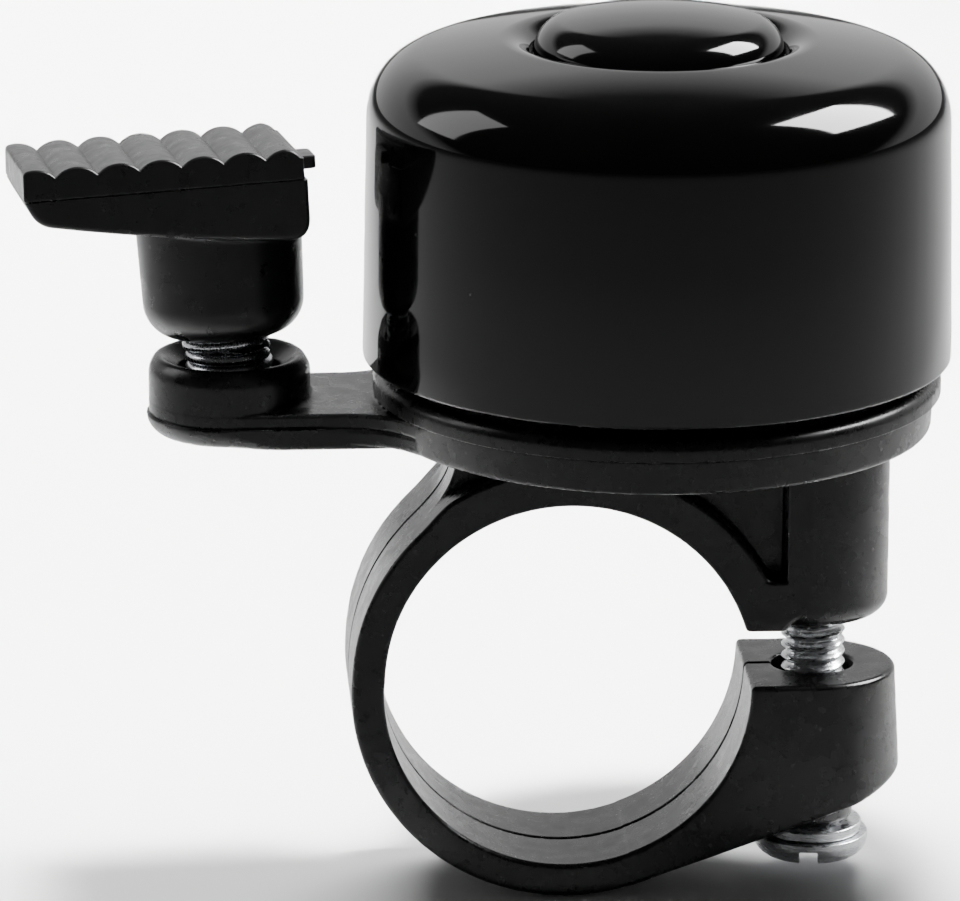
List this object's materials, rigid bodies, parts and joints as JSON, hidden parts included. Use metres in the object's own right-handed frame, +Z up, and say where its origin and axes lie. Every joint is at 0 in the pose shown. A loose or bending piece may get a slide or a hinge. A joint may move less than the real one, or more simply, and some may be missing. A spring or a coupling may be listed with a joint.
{
  "type": "bicycle bell",
  "caption": "Thumb bell for a handlebar: clamp band with a disc and an arm, sprung ribbed striker lever, and a domed metal gong with a round cap.",
  "frame": {"origin": "centre of the clamp bore, at the middle of the band's width", "axes": "+Y along the handlebar, +Z up from the bar to the bell, +X towards the clamp screw and away from the striker"},
  "size_m": [0.0568, 0.0354, 0.054],
  "materials": {
    "base_plastic": "moulded black plastic, semi-gloss",
    "gong_paint": "gloss black paint",
    "cap_plastic": "polished black plastic",
    "pad_plastic": "black plastic, satin",
    "bush_plastic": "natural nylon",
    "zinc": "bright zinc plating",
    "spring_steel": "drawn spring wire",
    "black_steel": "black lacquer"
  },
  "bodies": {
    "base": {"base_frame": "base_plastic", "bell_dome": "gong_paint", "dome_cap": "cap_plastic", "dome_screw": "zinc", "dome_washer": "zinc", "dome_bush": "bush_plastic", "clamp_nut": "zinc"},
    "spring": {"striker_spring": "spring_steel"},
    "striker": {"striker_body": "pad_plastic", "thumb_pad": "pad_plastic", "hammer_plate": "black_steel"},
    "washer": {"lock_washer": "zinc"},
    "screw": {"clamp_screw": "zinc"},
    "jaw": {"clamp_jaw": "base_plastic"}
  },
  "joints": [
    {"name": "striker_tilt", "type": "hinge", "parent": "base", "child": "spring", "pos_m": [-0.02015, 0, 0.0199], "axis": [0, 1, 0], "range_deg": [-14, 15.4], "stiffness_Nm_per_rad": 0.08, "deforming": ["striker_spring"]},
    {"name": "striker_sway", "type": "hinge", "parent": "spring", "child": "striker", "pos_m": [-0.02015, 0, 0.0199], "axis": [1, 0, 0], "range_deg": [-4, 4], "stiffness_Nm_per_rad": 0.08},
    {"name": "screw_advance", "type": "slide", "parent": "base", "child": "washer", "axis": [0, 0, 1], "range_m": [0, 0.0021]},
    {"name": "screw_turn", "type": "hinge", "parent": "washer", "child": "screw", "pos_m": [0.01525, 0, 0], "axis": [0, 0, 1], "range_deg": [0, 1080]},
    {"name": "jaw_close", "type": "hinge", "parent": "base", "child": "jaw", "pos_m": [-0.0131, 0, 0.00128], "axis": [0, -1, 0], "range_deg": [0, 4.3]}
  ],
  "couplings": [
    {"joint": "screw_turn", "follows": "screw_advance", "rad_per_m": 8975.9},
    {"joint": "jaw_close", "follows": "screw_advance", "rad_per_m": 35.273}
  ]
}
